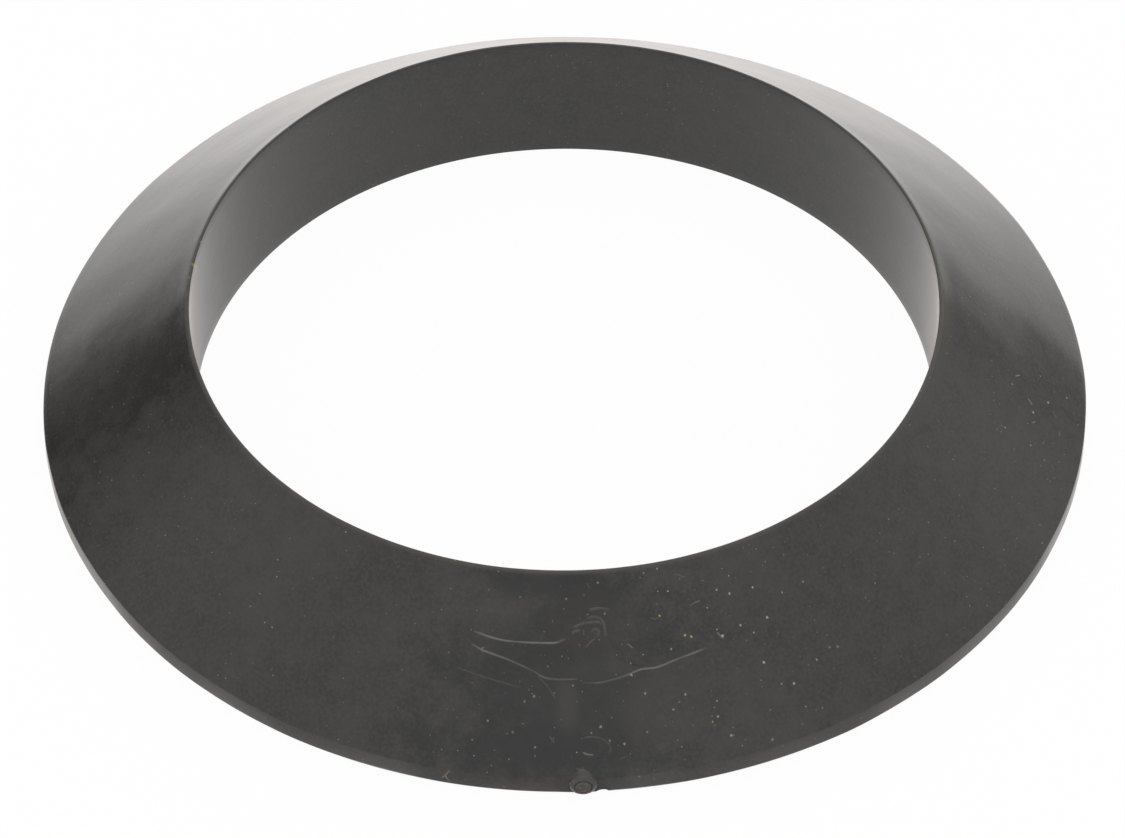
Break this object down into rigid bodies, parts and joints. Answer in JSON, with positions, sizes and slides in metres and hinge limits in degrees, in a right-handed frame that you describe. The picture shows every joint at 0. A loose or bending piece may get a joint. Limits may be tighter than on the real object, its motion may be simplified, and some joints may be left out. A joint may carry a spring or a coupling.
{
  "type": "rubber gasket",
  "caption": "One-piece moulded rubber cone gasket: straight bore, narrow flat lip, sloping seal face, short upright rim and flat base, with a gate stub on the rim.",
  "frame": {"origin": "centre of the bore in the plane of the flat base face", "axes": "+Z along the bore, from the base towards the lip; the gate stub on the rim is at -Y"},
  "size_m": [0.0888, 0.0893, 0.0127],
  "materials": {
    "rubber": "black moulded rubber, slightly shiny, with flow marks near the gate and pale dust"
  },
  "bodies": {
    "root": {"gasket_ring": "rubber"}
  },
  "joints": []
}
